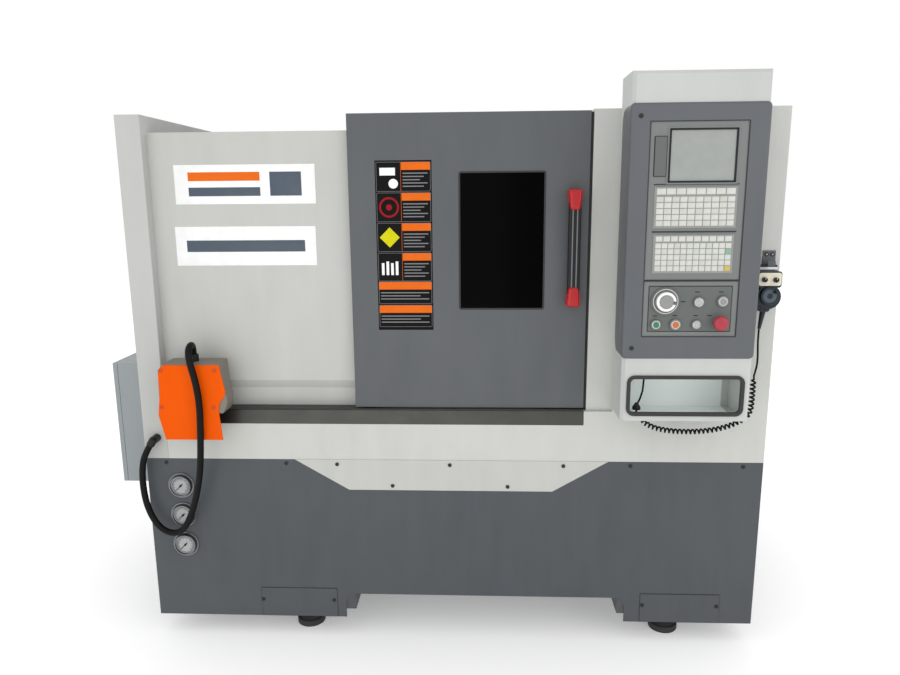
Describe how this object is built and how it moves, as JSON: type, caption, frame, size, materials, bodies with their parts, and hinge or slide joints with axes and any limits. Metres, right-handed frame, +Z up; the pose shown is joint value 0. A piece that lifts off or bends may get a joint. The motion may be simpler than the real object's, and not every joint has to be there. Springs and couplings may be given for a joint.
{
  "type": "cnc turning lathe",
  "caption": "Enclosed slant-bed turning lathe with a sliding door, a raised control box, a hanging hand pendant, a foot switch and gauges on a dark base.",
  "frame": {"origin": "on the floor, under the middle of the machine's outer box, measured without the free cords", "axes": "+Z up, +Y from the operator's side towards the rear, +X to the operator's right, along the spindle from headstock to tailstock"},
  "size_m": [2.164, 1.344, 1.762],
  "materials": {
    "enclosure_paint": "textured",
    "slate_paint": "textured",
    "blue_grey_paint": "satin",
    "cast_iron": "painted",
    "stainless": "brushed",
    "machined_steel": "ground",
    "hard_chrome": "polished",
    "dark_glass": "gloss",
    "screen_glass": "matt",
    "keypad_film": "embossed",
    "panel_plastic": "satin",
    "black_rubber": "matt",
    "black_plastic": "moulded",
    "handle_aluminium": "black anodised",
    "orange_paint": "gloss",
    "grey_casting": "cast",
    "cream_plastic": "moulded",
    "red_plastic": "gloss",
    "green_plastic": "gloss",
    "amber_plastic": "gloss",
    "clear_plastic": "gloss",
    "silver_plastic": "gloss",
    "zinc_screw": "blackened"
  },
  "bodies": {
    "machine": {"bed_casting": "cast_iron", "base_front_cover": "slate_paint", "front_apron": "enclosure_paint", "leg_access_covers": "slate_paint", "levelling_feet": "black_rubber", "left_end_guard": "enclosure_paint", "right_end_guard": "enclosure_paint", "rear_guard": "enclosure_paint", "front_fascia": "enclosure_paint", "left_front_panel": "enclosure_paint", "door_track_cover": "stainless", "control_box": "enclosure_paint", "control_bezel": "slate_paint", "display_panel": "panel_plastic", "display_screen": "screen_glass", "membrane_keypads": "keypad_film", "switch_plate": "panel_plastic", "pressure_gauges": "hard_chrome", "side_cabinet": "blue_grey_paint", "headstock": "cast_iron", "spindle_motor": "black_plastic", "pendant_bracket": "slate_paint", "pendant_body": "black_plastic", "foot_switch_base": "grey_casting", "foot_switch_hood": "orange_paint", "cable_glands": "black_plastic", "foot_switch_conduit": "black_rubber", "pendant_lead_upper": "black_rubber", "pendant_lead_coil": "black_rubber", "pendant_lead_lower": "black_rubber", "cover_screws": "zinc_screw"},
    "door": {"door_panel": "slate_paint", "door_window": "dark_glass", "door_handle": "handle_aluminium"},
    "spindle": {"spindle": "machined_steel", "chuck": "machined_steel"},
    "jaw_1": {"chuck_jaw_1": "machined_steel"},
    "jaw_2": {"chuck_jaw_2": "machined_steel"},
    "jaw_3": {"chuck_jaw_3": "machined_steel"},
    "carriage": {"carriage": "cast_iron"},
    "cross_slide": {"cross_slide": "cast_iron"},
    "turret": {"turret_disc": "machined_steel"},
    "tailstock": {"tailstock": "cast_iron"},
    "quill": {"tailstock_quill": "machined_steel"},
    "port_cover": {"port_cover": "panel_plastic"},
    "override_knob": {"override_knob": "black_plastic"},
    "emergency_stop": {"emergency_stop": "red_plastic"},
    "cycle_start": {"cycle_start_button": "green_plastic"},
    "feed_hold": {"feed_hold_button": "amber_plastic"},
    "reset": {"reset_button": "clear_plastic"},
    "power_on": {"power_on_button": "clear_plastic"},
    "power_off": {"power_off_button": "silver_plastic"},
    "pendant_wheel": {"pendant_wheel": "black_plastic"},
    "pendant_axis_knob": {"pendant_axis_knob": "cream_plastic"},
    "pendant_rate_knob": {"pendant_rate_knob": "cream_plastic"},
    "treadle": {"foot_treadle": "grey_casting"},
    "needle_1": {"gauge_needle_1": "black_plastic"},
    "needle_2": {"gauge_needle_2": "black_plastic"},
    "needle_3": {"gauge_needle_3": "black_plastic"},
    "cabinet_door": {"side_cabinet_door": "blue_grey_paint"}
  },
  "joints": [
    {"name": "door_slide", "type": "slide", "parent": "machine", "child": "door", "axis": [-1, 0, 0], "range_m": [0, 0.6]},
    {"name": "spindle_turn", "type": "hinge", "parent": "machine", "child": "spindle", "pos_m": [-0.2, -0.09, 1.06], "axis": [1, 0, 0], "continuous": true},
    {"name": "jaw_1_slide", "type": "slide", "parent": "spindle", "child": "jaw_1", "axis": [0, 0, 1], "range_m": [-0.004, 0.003]},
    {"name": "jaw_2_slide", "type": "slide", "parent": "spindle", "child": "jaw_2", "axis": [0, -0.866, -0.5], "range_m": [-0.004, 0.003]},
    {"name": "jaw_3_slide", "type": "slide", "parent": "spindle", "child": "jaw_3", "axis": [0, 0.866, -0.5], "range_m": [-0.004, 0.003]},
    {"name": "carriage_slide", "type": "slide", "parent": "machine", "child": "carriage", "axis": [-1, 0, 0], "range_m": [0, 0.5]},
    {"name": "cross_slide_feed", "type": "slide", "parent": "carriage", "child": "cross_slide", "axis": [0, -0.7071, -0.7071], "range_m": [0, 0.16]},
    {"name": "turret_index", "type": "hinge", "parent": "cross_slide", "child": "turret", "pos_m": [0.5, 0.15042, 1.30042], "axis": [1, 0, 0], "continuous": true},
    {"name": "tailstock_slide", "type": "slide", "parent": "machine", "child": "tailstock", "axis": [-1, 0, 0], "range_m": [0, 0.12]},
    {"name": "quill_slide", "type": "slide", "parent": "tailstock", "child": "quill", "axis": [-1, 0, 0], "range_m": [0, 0.08]},
    {"name": "port_cover_hinge", "type": "hinge", "parent": "machine", "child": "port_cover", "pos_m": [0.6711, -0.6402, 1.541], "axis": [0, 0, -1], "range_deg": [0, 110]},
    {"name": "override_turn", "type": "hinge", "parent": "machine", "child": "override_knob", "pos_m": [0.717, -0.648, 1.15], "axis": [0, 1, 0], "range_deg": [-120, 120]},
    {"name": "emergency_stop_press", "type": "slide", "parent": "machine", "child": "emergency_stop", "axis": [0, 1, 0], "range_m": [0, 0.005]},
    {"name": "cycle_start_press", "type": "slide", "parent": "machine", "child": "cycle_start", "axis": [0, 1, 0], "range_m": [0, 0.0025], "stiffness_N_per_m": 1500, "springref_m": -0.001},
    {"name": "feed_hold_press", "type": "slide", "parent": "machine", "child": "feed_hold", "axis": [0, 1, 0], "range_m": [0, 0.0025], "stiffness_N_per_m": 1500, "springref_m": -0.001},
    {"name": "reset_press", "type": "slide", "parent": "machine", "child": "reset", "axis": [0, 1, 0], "range_m": [0, 0.0025], "stiffness_N_per_m": 1500, "springref_m": -0.001},
    {"name": "power_on_press", "type": "slide", "parent": "machine", "child": "power_on", "axis": [0, 1, 0], "range_m": [0, 0.0025], "stiffness_N_per_m": 1500, "springref_m": -0.001},
    {"name": "power_off_press", "type": "slide", "parent": "machine", "child": "power_off", "axis": [0, 1, 0], "range_m": [0, 0.0025], "stiffness_N_per_m": 1500, "springref_m": -0.001},
    {"name": "pendant_wheel_turn", "type": "hinge", "parent": "machine", "child": "pendant_wheel", "pos_m": [1.032, -0.556, 1.153], "axis": [0, 1, 0], "continuous": true},
    {"name": "pendant_axis_turn", "type": "hinge", "parent": "machine", "child": "pendant_axis_knob", "pos_m": [1.015, -0.556, 1.2], "axis": [0, 1, 0], "range_deg": [-90, 90]},
    {"name": "pendant_rate_turn", "type": "hinge", "parent": "machine", "child": "pendant_rate_knob", "pos_m": [1.047, -0.556, 1.199], "axis": [0, 1, 0], "range_deg": [-45, 45]},
    {"name": "treadle_press", "type": "hinge", "parent": "machine", "child": "treadle", "pos_m": [-0.675, -0.534, 0.872], "axis": [1, 0, 0], "range_deg": [0, 10], "stiffness_Nm_per_rad": 12, "springref_deg": -6.88},
    {"name": "needle_1_turn", "type": "hinge", "parent": "machine", "child": "needle_1", "pos_m": [-0.764, -0.499, 0.53], "axis": [0, 1, 0], "range_deg": [0, 270]},
    {"name": "needle_2_turn", "type": "hinge", "parent": "machine", "child": "needle_2", "pos_m": [-0.764, -0.499, 0.429], "axis": [0, 1, 0], "range_deg": [0, 270]},
    {"name": "needle_3_turn", "type": "hinge", "parent": "machine", "child": "needle_3", "pos_m": [-0.764, -0.499, 0.326], "axis": [0, 1, 0], "range_deg": [0, 270]},
    {"name": "cabinet_door_hinge", "type": "hinge", "parent": "machine", "child": "cabinet_door", "pos_m": [-1.082, 0.31, 0.661], "axis": [0, 0, -1], "range_deg": [0, 110]}
  ],
  "couplings": [
    {"joint": "jaw_2_slide", "follows": "jaw_1_slide", "ratio": 1},
    {"joint": "jaw_3_slide", "follows": "jaw_1_slide", "ratio": 1}
  ]
}
